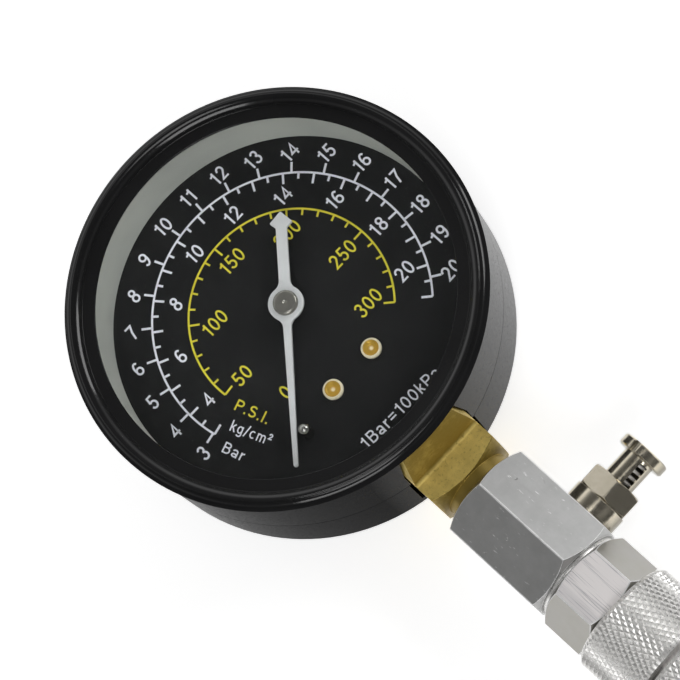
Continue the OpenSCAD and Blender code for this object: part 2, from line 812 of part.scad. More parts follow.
module sector_outline() {
  span = (sector_teeth - 1) * tooth_pitch;
  last = sector_first - span;
  inner = sector_root_r - sector_rim;
  polygon(concat(
    arc(0, 0, sector_root_r, last - sector_end_turn, sector_first + sector_end_turn, sector_steps),
    arc(0, 0, inner, sector_first + sector_end_turn, last - sector_end_turn, sector_steps)
  ));
  for (i = [0:sector_teeth - 1]) rotate(sector_first - i * tooth_pitch) tooth(sector_root_r);
  for (a = [last + sector_end_turn, sector_first - sector_end_turn])
    rotate(a) translate([0, -sector_web_w / 2]) square([inner + sector_rim / 2, sector_web_w]);
  circle(r = sector_hub_r);
  rotate(tail_turn) {
    translate([0, -link_w / 2]) square([tail_arm, link_w]);
    translate([tail_arm, 0]) circle(d = link_w);
  }
}

module sector_gear() {
  color(brass_tone) translate([sector_at.x, sector_at.y, sector_z]) difference() {
    linear_extrude(sector_t) sector_outline();
    translate([0, 0, -cut]) cylinder(r = sector_body_r + fit, h = sector_t + 2 * cut);
    rotate(tail_turn) translate([tail_arm, 0, -cut]) cylinder(r = link_pin_r + fit, h = sector_t + 2 * cut);
  }
}

module sector_arbor() {
  color(steel_tone) translate([sector_at.x, sector_at.y, 0]) {
    translate([0, 0, seat_z + end_shake])
      cylinder(r = sector_arbor_r, h = plate_top - seat_z - 2 * end_shake);
    translate([0, 0, plate_z0 + end_shake]) cylinder(r = sector_body_r, h = pillar_h - 2 * end_shake);
  }
}

module pinion() {
  color(steel_tone) on_arbor() {
    translate([0, 0, seat_z + end_shake]) cylinder(r = pivot_r, h = plate_t);
    translate([0, 0, plate_z0 + end_shake]) cylinder(r = pinion_shaft_r, h = pinion_z - plate_z0 - end_shake);
    translate([0, 0, pinion_z]) linear_extrude(pinion_t) {
      circle(r = pinion_root_r);
      for (i = [0:pinion_n - 1]) rotate(centre_turn + i * 360 / pinion_n) tooth(pinion_root_r);
    }
    translate([0, 0, pinion_z + pinion_t]) cylinder(r = arbor_r, h = arbor_top - pinion_z - pinion_t);
    translate([0, 0, spring_z]) cylinder(r = collet_r, h = spring_h);
  }
}

module hairspring() {
  steps = spring_turns * spring_steps;
  grow = (spring_out_r - spring_in_r) / steps;
  function turn_at(i) = stud_turn + (i - steps) * 360 / spring_steps;
  function side(offset) =
    [for (i = [0:steps]) (spring_in_r + offset + i * grow) * [cos(turn_at(i)), sin(turn_at(i))]];
  inner = side(0);
  color(steel_tone) on_arbor(spring_z) linear_extrude(spring_h)
    polygon(concat(side(spring_t), [for (i = [0:steps]) inner[steps - i]]));
}

module hairspring_stud() {
  at = spring_out_r + spring_t + stud_r + run;
  color(brass_tone) on_arbor(spring_z) rotate(stud_turn) translate([at, 0, 0])
    cylinder(r = stud_r, h = plate_z1 - spring_z);
}

module plate_outline() {
  hull() {
    for (at = pillar_at) translate(at) circle(r = plate_margin, $fn = 32);
    translate(sector_at) circle(r = plate_margin, $fn = 32);
    translate(arbor_at) rotate(stud_turn) translate([spring_out_r, 0]) circle(r = plate_margin / 2, $fn = 32);
  }
}

module post_notches(z) {
  for (side = [-1, 1]) translate([side * dial_screw_x, -dial_screw_y, z - cut])
    cylinder(d = dial_post_d + 2 * post_notch, h = plate_t + 2 * cut);
}

module back_plate() {
  color(brass_tone) difference() {
    translate([0, 0, seat_z]) linear_extrude(plate_t) plate_outline();
    post_notches(seat_z);
    on_arbor(seat_z - cut) cylinder(r = pivot_r + run, h = plate_t + 2 * cut);
    translate([sector_at.x, sector_at.y, seat_z - cut])
      cylinder(r = sector_arbor_r + run, h = plate_t + 2 * cut);
    for (at = mount_screw_at) translate([at.x, at.y, seat_z - cut])
      cylinder(r = mount_screw_r + fit, h = plate_t + 2 * cut);
  }
}

module front_plate() {
  color(brass_tone) difference() {
    translate([0, 0, plate_z1]) linear_extrude(plate_t) plate_outline();
    post_notches(plate_z1);
    on_arbor(plate_z1 - cut) cylinder(r = arbor_r + run, h = plate_t + 2 * cut);
    translate([sector_at.x, sector_at.y, plate_z1 - cut])
      cylinder(r = sector_arbor_r + run, h = plate_t + 2 * cut);
    for (at = pillar_at) translate([at.x, at.y, plate_z1 - cut])
      cylinder(r = pillar_screw_r + fit, h = plate_t + 2 * cut);
  }
}

module pillars() {
  color(brass_tone) for (at = pillar_at) translate([at.x, at.y, plate_z0]) difference() {
    cylinder(r = pillar_r, h = pillar_h);
    translate([0, 0, pillar_h - pillar_screw_len])
      cylinder(r = pillar_screw_r + fit, h = pillar_screw_len + cut);
  }
}

module movement_screws() {
  color(steel_tone) {
    for (at = pillar_at) translate([at.x, at.y, plate_top]) {
      translate([0, 0, -plate_t - pillar_screw_len + end_shake])
        cylinder(r = pillar_screw_r, h = plate_t + pillar_screw_len - end_shake);
      cylinder(r = mount_head_r, h = screw_head_t);
    }
    for (at = mount_screw_at) translate([at.x, at.y, plate_z0]) {
      translate([0, 0, -plate_t - mount_screw_len + end_shake])
        cylinder(r = mount_screw_r, h = plate_t + mount_screw_len - end_shake);
      cylinder(r = mount_head_r, h = screw_head_t);
    }
  }
}

// Tee and release valve

module tee() {
  color(alu_tone) difference() {
    on_stem(hex_s) hex_bar(hex_af, hex_len, 30);
    on_stem(hex_s - cut) cylinder(r = mid_r, h = hex_len + 2 * cut);
    on_stem(hex_s - cut) cylinder(r = port_r, h = cut + stub_len + stub_clear);
    on_stem(body_s - body_stub_len - stub_clear) cylinder(r = port_r, h = body_stub_len + cut);
    on_valve(0) cylinder(r = valve_thread_r + fit, h = flat_x + cut);
  }
}

module valve_body() {
  color(nickel_tone) difference() {
    union() {
      on_valve(valve_in_x) cylinder(r = valve_thread_r, h = flat_x - valve_in_x);
      on_valve(flat_x) cylinder(d = valve_base_d, h = valve_base_len);
      on_valve(base_x) hex_bar(valve_af, valve_hex_len, valve_turn);
    }
    on_valve(valve_in_x - cut) cylinder(r = chamber_r, h = seat_in_x - valve_in_x + cut);
    on_valve(seat_in_x - cut) cylinder(r = seat_hole_r, h = seat_t + 2 * cut);
    on_valve(seat_out_x) cylinder(r = barrel_r + fit, h = valve_x - seat_out_x + cut);
  }
}

module release_button() {
  color(nickel_tone) difference() {
    union() {
      on_valve(barrel_in_x) cylinder(r = barrel_r, h = head_x - barrel_in_x);
      on_valve(head_x) rotate_extrude() polygon([
        [0, 0], [head_d / 2 - head_chamfer, 0], [head_d / 2, head_chamfer],
        [head_d / 2, head_t - head_chamfer], [head_d / 2 - head_chamfer, head_t], [0, head_t]
      ]);
    }
    on_valve(barrel_in_x - cut) cylinder(r = barrel_r - barrel_wall, h = head_x - barrel_in_x + cut);
    on_valve(head_x - cut) cylinder(r = stem_r + fit, h = stem_sink + cut);
    on_valve(barrel_in_x - cut) rotate(slot_turn) translate([-barrel_d, -slot_w / 2, 0])
      cube([barrel_d, slot_w, head_x - barrel_in_x + cut / 2]);
    on_valve(head_x - cut) rotate(-head_notch_turn)
      translate([-head_d / 2 - cut, -head_notch_w / 2, 0])
        cube([head_notch_d + cut, head_notch_w, head_t + 2 * cut]);
  }
}

module valve_stem() {
  color(steel_tone) {
    on_valve(seat_in_x - seal_t) cylinder(r = stem_r, h = head_x + stem_sink - fit - seat_in_x + seal_t);
    on_valve(seat_in_x - seal_t - stem_head_t) cylinder(r = seal_r, h = stem_head_t);
  }
}

module valve_seal() {
  color(rubber_tone) on_valve(0) tube_between(stem_r + fit, seal_r, seat_in_x - seal_t, seat_in_x);
}

module valve_spring() {
  steps = coil_turns * coil_steps;
  length = head_x - seat_out_x - 2 * (coil_wire_r + fit);
  function coil_point(i, k) =
    let (turn = i * 360 / coil_steps, lean = k * 360 / coil_sides, r = coil_r + coil_wire_r * cos(lean))
    [r * cos(turn), r * sin(turn), i * length / steps + coil_wire_r * sin(lean)];
  points = [for (i = [0:steps], k = [0:coil_sides - 1]) coil_point(i, k)];
  walls = [
    for (i = [0:steps - 1], k = [0:coil_sides - 1])
      let (a = i * coil_sides + k, b = i * coil_sides + (k + 1) % coil_sides)
      [a, a + coil_sides, b + coil_sides, b]
  ];
  first_end = [for (k = [0:coil_sides - 1]) k];
  last_end = [for (k = [0:coil_sides - 1]) (steps + 1) * coil_sides - 1 - k];
  color(steel_tone) on_valve(seat_out_x + coil_wire_r + fit)
    polyhedron(points, concat(walls, [first_end, last_end]));
}

// Hose coupling

module sealing_washer() {
  color(alu_tone) on_stem(0) tube_between(thread_r + fit, washer_d / 2, hex_end_s, body_s);
}

module coupling_body() {
  color(alu_tone) difference() {
    union() {
      on_stem(body_s - body_stub_len) cylinder(r = thread_r, h = body_stub_len);
      on_stem(body_s) hex_bar(body_af, body_hex_len, 0);
      on_stem(collar_s) rotate_extrude() polygon([
        [0, 0], [nose_r, 0], [nose_r, nose_s - collar_s - nose_chamfer],
        [nose_r - nose_chamfer, nose_s - collar_s], [0, nose_s - collar_s]
      ]);
    }
    on_stem(body_s - body_stub_len - cut)
      cylinder(d = body_bore_d, h = nose_s - body_s + body_stub_len + 2 * cut);
    on_stem(0) tube_between(nose_r - ring_depth - fit, nose_r + cut, ring_s - fit, ring_s + ring_t + fit);
    on_stem(nose_s - seal_wire_r + seal_stand) rotate_extrude() translate([seal_ring_r, 0])
      circle(r = seal_wire_r + fit);
    on_stem(0) tube_between(seal_ring_r - seal_wire_r - fit, seal_ring_r + seal_wire_r + fit,
      nose_s - seal_wire_r + seal_stand, nose_s + cut);
  }
}

// Ring with chamfered outer edges, for the knurl
module knurl_ring(length, profile) {
  rotate_extrude() polygon(concat(
    profile,
    [
      [knurl_r - knurl_chamfer, length], [knurl_r, length - knurl_chamfer],
      [knurl_r, knurl_chamfer], [knurl_r - knurl_chamfer, 0]
    ]
  ));
}

module grip_collar() {
  color(alu_tone) on_stem(collar_s) knurl_ring(collar_len, [[nose_r + fit, 0], [nose_r + fit, collar_len]]);
}

module swivel_nut() {
  lip_r = nose_r + run;
  bore_from = cavity_s - nut_s;
  color(alu_tone) on_stem(nut_s) knurl_ring(nut_len, [
    [lip_r, 0], [lip_r, nut_lip_t], [cavity_r, nut_lip_t], [cavity_r, bore_from], [nut_bore_r, bore_from],
    [nut_bore_r, nut_len - nose_chamfer], [nut_bore_r + nose_chamfer, nut_len]
  ]);
}

module snap_ring() {
  color(steel_tone) on_stem(0) difference() {
    tube_between(nose_r - ring_depth, nose_r + ring_stand, ring_s, ring_s + ring_t);
    translate([0, -ring_mouth / 2, ring_s - cut])
      cube([nose_r + ring_stand + cut, ring_mouth, ring_t + 2 * cut]);
  }
}

module nose_seal() {
  color(rubber_tone) on_stem(nose_s - seal_wire_r + seal_stand)
    rotate_extrude() translate([seal_ring_r, 0]) circle(r = seal_wire_r);
}

case_back();
case_front();
bezel();
lens();
lens_gasket();
spacer_ring();
dial();
dial_posts();
dial_screws();
stop_pin();
pointer();
pointer_hub();
socket();
case_screws();
restrictor();
bourdon_tube();
tube_tip();
tip_pin();
link();
link_pin();
sector_gear();
sector_arbor();
pinion();
hairspring();
hairspring_stud();
back_plate();
front_plate();
pillars();
movement_screws();
tee();
valve_body();
release_button();
valve_stem();
valve_seal();
valve_spring();
sealing_washer();
coupling_body();
grip_collar();
swivel_nut();
snap_ring();
nose_seal();
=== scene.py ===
"""Looks of the compression tester gauge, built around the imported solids. Lengths are in millimetres
until they are placed, and the frame is the part's own: dial up (+Z), stem along -Y."""
import math

import bmesh
import bpy
from mathutils import Matrix, Quaternion, Vector


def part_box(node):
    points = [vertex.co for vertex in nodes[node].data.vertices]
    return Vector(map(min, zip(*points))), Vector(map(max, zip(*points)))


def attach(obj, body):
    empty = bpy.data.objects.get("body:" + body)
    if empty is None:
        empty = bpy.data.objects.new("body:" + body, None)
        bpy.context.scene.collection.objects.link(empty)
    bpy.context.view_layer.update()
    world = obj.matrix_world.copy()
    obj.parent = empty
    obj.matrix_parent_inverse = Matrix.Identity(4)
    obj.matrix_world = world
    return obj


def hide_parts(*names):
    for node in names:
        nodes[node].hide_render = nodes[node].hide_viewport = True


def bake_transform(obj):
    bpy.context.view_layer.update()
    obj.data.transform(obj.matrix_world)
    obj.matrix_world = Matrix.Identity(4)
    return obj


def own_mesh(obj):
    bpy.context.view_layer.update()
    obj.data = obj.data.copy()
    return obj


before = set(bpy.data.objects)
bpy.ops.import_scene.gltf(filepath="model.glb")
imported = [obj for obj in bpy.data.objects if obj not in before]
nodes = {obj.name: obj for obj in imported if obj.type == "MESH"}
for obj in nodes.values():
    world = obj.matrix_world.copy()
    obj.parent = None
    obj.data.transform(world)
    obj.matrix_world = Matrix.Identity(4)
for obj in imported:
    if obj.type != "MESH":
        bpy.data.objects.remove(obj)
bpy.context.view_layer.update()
MM = 0.001

# Places on the solids. S runs along the stem, away from the dial's centre. The two dial screws
# stand SCREW_AT to either side of that centre and below it.
STEM_Z = 12.0
SCREW_AT = (5.15, 16.5)
DIAL_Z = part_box("dial")[1].z / MM
COLLAR_S = [-v.y / MM for v in reversed(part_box("grip_collar"))]
NUT_S = [-v.y / MM for v in reversed(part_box("swivel_nut"))]
KNURL_R = (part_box("grip_collar")[1].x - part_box("grip_collar")[0].x) / 2 / MM


# Materials

# Spans of a value over which a finish, a painted shade or a painted highlight changes: a place or a
# radius in mm, an angle in radians, or one part of the direction in which the surface faces
NOISE_SPAN, FULL_SPAN = (0.3, 0.7), (0, 1)
CASE_SHADE_FACING_X = (-0.35, 0.4)
BEZEL_SHADE_R = (39.2, 39.5)
TEE_RIDGE_TURN, TEE_SIDE_FACING_Y = (0.011, 0.022), (0.1, 0.3)
HEXAGON_TOP_FACING_Z, HEXAGON_DARKER_X = (0.9, 0.98), (-3.6, -2.4)
BRASS_SHADE_FACING_Y, BRASS_SHADE_NECK_Y = (-0.85, -0.3), (-47.0, -46.7)
NICKEL_SHADE_FACING_Z = (0.25, 0.6)
SCREW_RIM_R, SCREW_TIP_R = (1.47, 1.6), (0.2, 0.55)
HALF_FLAT = math.pi / 6


def metres(span):
    return [value * MM for value in span]


class Tree:
    """A material's node tree, with short ways to add nodes. A value is a socket or a constant."""

    def __init__(self, name):
        self.material = bpy.data.materials.new(name)
        self.material.use_nodes = True
        self.nodes = self.material.node_tree.nodes
        self.links = self.material.node_tree.links
        self.shader = self.nodes["Principled BSDF"]
        self.output = self.nodes["Material Output"]
        self.place = self.nodes.new("ShaderNodeTexCoord").outputs["Object"]

    def put(self, value, socket):
        if isinstance(value, bpy.types.NodeSocket):
            self.links.new(value, socket)
        else:
            socket.default_value = value

    def add(self, kind, inputs=None, **settings):
        n = self.nodes.new(kind)
        for key, value in settings.items():
            setattr(n, key, value)
        for key, value in (inputs or {}).items():
            self.put(value, n.inputs[key])
        return n

    def set(self, **values):
        """Sets the shader's inputs, by names such as base_color."""
        for key, value in values.items():
            name = key.replace("_", " ").title().replace("Ior", "IOR")
            self.put(value, self.shader.inputs[name])

    def noise(self, scale, detail, rough=0.55, stretch=(1, 1, 1)):
        """Noise from 0 to 1, with about scale blobs to the metre."""
        at = self.add("ShaderNodeMapping", {"Vector": self.place, "Scale": stretch}).outputs[0]
        inputs = {"Vector": at, "Scale": scale, "Detail": detail, "Roughness": rough}
        return self.add("ShaderNodeTexNoise", inputs).outputs["Fac"]

    def spread(self, value, low, high, span=NOISE_SPAN):
        """Goes from low to high as value crosses the span, and is level beyond it."""
        ends = {"From Min": span[0], "From Max": span[1], "To Min": low, "To Max": high}
        return self.add("ShaderNodeMapRange", {"Value": value, **ends}).outputs["Result"]

    def mix(self, share, a, b):
        """Goes from colour a to colour b as share goes from 0 to 1."""
        n = self.add("ShaderNodeMix", data_type="RGBA")
        for key, value in (("Factor", share), ("A", a), ("B", b)):
            found = [s for s in n.inputs if s.name == key and s.enabled][0]
            self.put((*value, 1) if isinstance(value, tuple) else value, found)
        return [s for s in n.outputs if s.enabled][0]

    def maths(self, operation, a, b=0.0):
        return self.add("ShaderNodeMath", {0: a, 1: b}, operation=operation).outputs[0]

    def axes(self, vector):
        """A vector's parts, as sockets X, Y and Z."""
        return self.add("ShaderNodeSeparateXYZ", {0: vector}).outputs

    def facing(self):
        """The direction in which the surface faces, as sockets X, Y and Z."""
        return self.axes(self.add("ShaderNodeNewGeometry").outputs["Normal"])

    def length(self, a, b):
        squares = [self.maths("MULTIPLY", value, value) for value in (a, b)]
        return self.maths("SQRT", self.maths("ADD", *squares))

    def bump(self, height, depth, under=None):
        """Relief of that depth in mm, laid over the relief under."""
        inputs = {"Height": height, "Distance": depth * MM, "Strength": 1.0}
        if under:
            inputs["Normal"] = under
        return self.add("ShaderNodeBump", inputs).outputs["Normal"]


# Plain finishes: two tones, metal, roughness, patches and grains to the metre, grain's depth in mm
FINISHES = {
    "case_black": ((0.006, 0.006, 0.0065), (0.009, 0.009, 0.0095), 0, 0.24, 90, 1800, 0.002),
    "bezel_black": ((0.012, 0.012, 0.0125), (0.016, 0.016, 0.0165), 0, 0.12, 90, 1800, 0.001),
    "dial_black": ((0.012, 0.012, 0.0125), (0.017, 0.017, 0.0175), 0, 0.5, 140, 3000, 0.004),
    "spacer_grey": ((0.45, 0.46, 0.43), (0.53, 0.54, 0.50), 0, 0.6, 90, 1500, 0.02),
    "print_white": ((0.84, 0.84, 0.92), (0.90, 0.90, 0.97), 0, 0.55, 700, 3500, 0.003),
    "print_yellow": ((0.72, 0.62, 0.03), (0.80, 0.70, 0.05), 0, 0.55, 700, 3500, 0.003),
    "pointer_white": ((0.61, 0.61, 0.62), (0.67, 0.67, 0.68), 0, 0.5, 300, 2500, 0.01),
    "steel": ((0.46, 0.45, 0.42), (0.56, 0.55, 0.53), 1, 0.22, 300, 3000, 0.006),
    "hub_steel": ((0.30, 0.285, 0.26), (0.36, 0.345, 0.315), 0.7, 0.2, 300, 3000, 0.006),
    "spring_steel": ((0.80, 0.78, 0.74), (0.88, 0.86, 0.82), 0.35, 0.25, 300, 3000, 0.004),
    # A pale, barely metal edge: partly wear, partly a painted highlight
    "tee_edge": ((0.86, 0.86, 0.86), (0.95, 0.95, 0.95), 0.2, 0.3, 600, 2500, 0.02),
    "coupling_knurl": ((0.82, 0.81, 0.79), (0.90, 0.89, 0.87), 0.65, 0.3, 500, 2500, 0.008),
    "seal_rubber": ((0.012, 0.012, 0.012), (0.02, 0.02, 0.02), 0, 0.6, 300, 1800, 0.02),
    "floor_pale": ((0.88, 0.88, 0.88), (0.90, 0.90, 0.90), 0, 0.8, 8, 200, 0.02),
}
GLOSS_VARIES = 0.06


def finish(name):
    """A surface whose colour drifts between two tones, with grain in its gloss and its relief."""
    base, other, metal, rough, patch, grain, depth = FINISHES[name]
    t = Tree(name)
    t.set(metallic=metal)
    drift = t.spread(t.noise(patch, 4), 0, 1)
    t.set(base_color=t.mix(drift, base, other))
    grit = t.noise(grain, 4, 0.6)
    t.set(roughness=t.spread(grit, rough - GLOSS_VARIES, rough + GLOSS_VARIES))
    t.set(normal=t.bump(grit, depth))
    return t


def case_material():
    """Satin black paint, with painted shade: the side away from the valve reflects almost nothing, so
    it stays dark.
    """
    t = finish("case_black")
    # Painted shade: the specular level falls almost to nothing on the faces turned away from the
    # valve
    t.set(specular_ior_level=t.spread(t.facing()["X"], 0.004, 0.085, CASE_SHADE_FACING_X))
    return t.material


def bezel_material():
    """Gloss black paint, with painted shade: the gloss stops where the ring rounds over to its outer
    wall, so that wall stays dark.
    """
    t = finish("bezel_black")
    place = t.axes(t.place)
    radius = t.length(place["X"], place["Y"])
    # Painted shade: no gloss on the outer part of the rounding and on the outer wall, which stay dark
    # instead of reflecting the floor
    t.set(specular_ior_level=t.spread(radius, 0.5, 0, metres(BEZEL_SHADE_R)))
    return t.material


def lens_material():
    """Clear plastic with faint smears, which lets the lamps' light straight through."""
    t = Tree("lens_clear")
    smear = t.spread(t.noise(60, 3), 0.0, 0.03)
    t.set(base_color=(0.97, 0.985, 0.98, 1), roughness=smear, ior=1.2, transmission_weight=1.0)
    lamp_rays = t.add("ShaderNodeLightPath").outputs["Is Shadow Ray"]
    clear = t.add("ShaderNodeBsdfTransparent", {"Color": (0.96, 0.97, 0.965, 1)}).outputs[0]
    both = t.add("ShaderNodeMixShader", {0: lamp_rays, 1: t.shader.outputs[0], 2: clear})
    t.links.new(both.outputs[0], t.output.inputs["Surface"])
    return t.material


def dial_material():
    t = finish("dial_black")
    t.set(specular_ior_level=0.15)
    return t.material


def tee_material():
    """Drawn bar: fine lines along the stem, bright scratches, a few small nicks, and pale ridges that
    are partly wear and partly a painted highlight.
    """
    t = Tree("tee_aluminium")
    place = t.axes(t.place)
    turn = t.maths("ARCTAN2", place["X"], t.maths("SUBTRACT", place["Z"], STEM_Z * MM))
    # Painted highlight along the ridges, partly wear: pale and barely metal, broken up by noise
    ridge_wear_and_highlight = t.spread(t.maths("PINGPONG", turn, HALF_FLAT), 1, 0, TEE_RIDGE_TURN)
    wear_and_glint = t.spread(t.noise(420, 3, 0.6), 0.55, 1, (0.35, 0.55))
    on_side = t.spread(t.maths("ABSOLUTE", t.facing()["Y"]), 1, 0, TEE_SIDE_FACING_Y)
    ridge_wear_and_highlight = t.maths("MULTIPLY", t.maths("MULTIPLY", ridge_wear_and_highlight, wear_and_glint), on_side)
    scratch = t.spread(t.noise(2300, 2, 0.5, (1, 0.22, 1)), 0, 0.75, (0.68, 0.77))
    bright = t.maths("MAXIMUM", scratch, ridge_wear_and_highlight)
    cloud = t.spread(t.noise(260, 5, 0.65), 0, 1)
    drawn = t.mix(cloud, (0.40, 0.40, 0.395), (0.47, 0.47, 0.465))
    t.set(base_color=t.mix(bright, drawn, (0.97, 0.97, 0.97)))
    t.set(metallic=t.spread(bright, 1.0, 0.15, FULL_SPAN))
    streak = t.noise(1500, 3, 0.6, (1, 0.03, 1))
    t.set(roughness=t.spread(streak, 0.30, 0.43))
    nick = t.spread(t.noise(900, 2, 0.5), 1, 0, (0.72, 0.78))
    t.set(normal=t.bump(nick, 0.08, under=t.bump(streak, 0.015)))
    return t.material


def hexagon_material():
    """The coupling's hexagon: smooth flats to the side, and saw lines on the upper one, whose
    near-white, non-metal tone is a painted sheen.
    """
    t = Tree("coupling_hexagon")
    top = t.spread(t.facing()["Z"], 0, 1, HEXAGON_TOP_FACING_Z)
    along_x = (1, 0.02, 0.02)
    coarse = t.maths("MULTIPLY", t.noise(1500, 2, 0.5, along_x), 0.5)
    fine = t.maths("MULTIPLY", t.noise(5600, 2, 0.6, along_x), 0.5)
    lines = t.maths("ADD", coarse, fine)
    # Darker towards -X across the upper flat
    darker_at_minus_x = t.spread(t.axes(t.place)["X"], 0.35, 0, metres(HEXAGON_DARKER_X))
    groove = t.maths("ADD", t.spread(lines, 1, 0, (0.36, 0.47)), darker_at_minus_x)
    # Painted sheen with real saw lines: the upper flat is near white and not metal, so that it comes
    # out bright
    sawn_painted_sheen = t.mix(groove, (1.0, 0.96, 0.95), (0.52, 0.51, 0.53))
    cloud = t.noise(200, 4, 0.6)
    plain = t.mix(t.spread(cloud, 0, 1), (0.36, 0.35, 0.32), (0.42, 0.41, 0.39))
    t.set(base_color=t.mix(top, plain, sawn_painted_sheen))
    t.set(metallic=t.spread(top, 1.0, 0, FULL_SPAN))
    t.set(roughness=t.spread(cloud, 0.30, 0.42))
    t.set(normal=t.bump(t.maths("MULTIPLY", lines, top), 0.05))
    return t.material


def brass_material(name, rough, dark, metal):
    """Brass with a darker tarnish, and painted shade at the neck and on the faces square to the stem.
    """
    t = Tree(name)
    t.set(metallic=metal)
    tarnish = t.spread(t.noise(240, 6, 0.65), 0, dark)
    speck = t.spread(t.noise(1300, 3, 0.6), 0, 0.5, (0.55, 0.75))
    # Painted shade: darker on the faces turned towards the stem's end, and at the neck beside the tee
    end_face = t.spread(t.facing()["Y"], 0.75, 0, BRASS_SHADE_FACING_Y)
    neck = t.spread(t.axes(t.place)["Y"], 0.9, 0, metres(BRASS_SHADE_NECK_Y))
    stain = t.maths("ADD", tarnish, speck)
    shade = t.maths("ADD", stain, t.maths("MAXIMUM", end_face, neck))
    t.set(base_color=t.mix(shade, (0.97, 0.74, 0.215), (0.32, 0.225, 0.043)))
    fine = t.noise(1700, 5, 0.65)
    t.set(roughness=t.spread(fine, rough - 0.08, rough + 0.1))
    t.set(normal=t.bump(fine, 0.02))
    return t.material


def nickel_material():
    """Warm nickel plate, with painted shade: darker on the faces that don't look up."""
    t = Tree("valve_nickel")
    drift = t.spread(t.noise(350, 4), 0, 1)
    plate = t.mix(drift, (0.63, 0.575, 0.45), (0.71, 0.65, 0.53))
    # Painted shade on the faces that turn down
    low = t.spread(t.facing()["Z"], 0.75, 0, NICKEL_SHADE_FACING_Z)
    t.set(base_color=t.mix(low, plate, (0.16, 0.15, 0.125)), metallic=0.94)
    grit = t.noise(2600, 4, 0.6)
    t.set(roughness=t.spread(grit, 0.15, 0.27), normal=t.bump(grit, 0.006))
    return t.material


def screw_material():
    """The dial screws: a painted highlight on the rim and tip, pale and barely metal, with the brass
    between them darker.
    """
    t = Tree("screw_brass")
    place = t.axes(t.place)
    across = t.maths("SUBTRACT", t.maths("ABSOLUTE", place["X"]), SCREW_AT[0] * MM)
    along = t.maths("ADD", place["Y"], SCREW_AT[1] * MM)
    radius = t.length(across, along)
    # Painted highlight: a pale, barely metal ring at the rim and a spot at the tip
    rim = t.spread(radius, 0, 1, metres(SCREW_RIM_R))
    tip = t.spread(radius, 0.9, 0, metres(SCREW_TIP_R))
    pale = t.maths("MAXIMUM", rim, tip)
    t.set(base_color=t.mix(pale, (0.70, 0.43, 0.07), (1.0, 0.90, 0.66)))
    t.set(metallic=t.spread(pale, 0.45, 0.1, FULL_SPAN), roughness=0.22)
    t.set(normal=t.bump(t.noise(1700, 4, 0.6), 0.02))
    return t.material


MATERIALS = {
    "case": case_material(),
    "bezel": bezel_material(),
    "lens": lens_material(),
    "spacer": finish("spacer_grey").material,
    "dial": dial_material(),
    "print_white": finish("print_white").material,
    "print_yellow": finish("print_yellow").material,
    "pointer": finish("pointer_white").material,
    "brass": brass_material("socket_brass", rough=0.36, dark=0.5, metal=0.45),
    "brass_edge": brass_material("socket_brass_edge", rough=0.22, dark=0.2, metal=0.9),
    "screw_brass": screw_material(),
    "movement": brass_material("movement_brass", rough=0.28, dark=0.4, metal=1.0),
    "steel": finish("steel").material,
    "hub": finish("hub_steel").material,
    "spring": finish("spring_steel").material,
    "nickel": nickel_material(),
    "tee": tee_material(),
    "tee_edge": finish("tee_edge").material,
    "hexagon": hexagon_material(),
    "knurl": finish("coupling_knurl").material,
    "rubber": finish("seal_rubber").material,
}

NODE_LOOKS = {
    "case": ["case_back", "case_front"],
    "bezel": ["bezel"],
    "lens": ["lens"],
    "spacer": ["spacer_ring", "lens_gasket"],
    "dial": ["dial"],
    "pointer": ["pointer"],
    "brass": ["socket"],
    "screw_brass": ["dial_screws"],
    "movement": [
        "dial_posts", "restrictor", "bourdon_tube", "tube_tip", "link", "sector_gear",
        "hairspring_stud", "back_plate", "front_plate", "pillars",
    ],
    "steel": [
        "stop_pin", "case_screws", "tip_pin", "link_pin", "sector_arbor", "pinion", "hairspring",
        "movement_screws", "valve_stem", "snap_ring",
    ],
    "hub": ["pointer_hub"],
    "nickel": ["valve_body", "release_button"],
    "spring": ["valve_spring"],
    "tee": ["tee"],
    "hexagon": ["coupling_body"],
    "knurl": ["grip_collar", "swivel_nut", "sealing_washer"],
    "rubber": ["valve_seal", "nose_seal"],
}
for look, names in NODE_LOOKS.items():
    for name in names:
        nodes[name].data.materials.clear()
        nodes[name].data.materials.append(MATERIALS[look])


# Edges of the solids

# Width of each rounded edge, and the finish of the rounding: worn brass on the socket, and on the tee
# and the hexagon a pale edge that is partly wear and partly a painted highlight
SOFT_EDGES = {
    "tee": (0.26, "tee_edge"), "coupling_body": (0.12, "tee_edge"), "socket": (0.16, "brass_edge"),
    "valve_body": (0.10, None), "release_button": (0.07, None), "case_front": (0.12, None),
    "case_back": (0.15, None), "pointer": (0.06, None), "pointer_hub": (0.03, None),
    "dial_screws": (0.05, None), "stop_pin": (0.03, None), "sealing_washer": (0.08, None),
}
SHARP_ANGLE = math.radians(28)
WELD_GAP = 0.002
EDGE_SEGMENTS = 2
NORMAL_WEIGHT = 80


def even_normals(obj):
    """Lets the large faces set the shading, so that flats stay flat beside a rounding."""
    normals = obj.modifiers.new("normals", "WEIGHTED_NORMAL")
    normals.weight = NORMAL_WEIGHT
    normals.keep_sharp = False


def soften(obj, width, wear_and_glint):
    """Rounds a solid's sharp edges with a modifier."""
    weld = obj.modifiers.new("weld", "WELD")
    weld.merge_threshold = WELD_GAP * MM
    bevel = obj.modifiers.new("edges", "BEVEL")
    bevel.width = width * MM
    bevel.segments = EDGE_SEGMENTS
    bevel.limit_method = "ANGLE"
    bevel.angle_limit = SHARP_ANGLE
    bevel.use_clamp_overlap = True
    # The rounding takes its own finish, which on the tee and the hexagon is partly a painted
    # highlight
    if wear_and_glint:
        obj.data.materials.append(MATERIALS[wear_and_glint])
        bevel.material = len(obj.data.materials) - 1
    even_normals(obj)


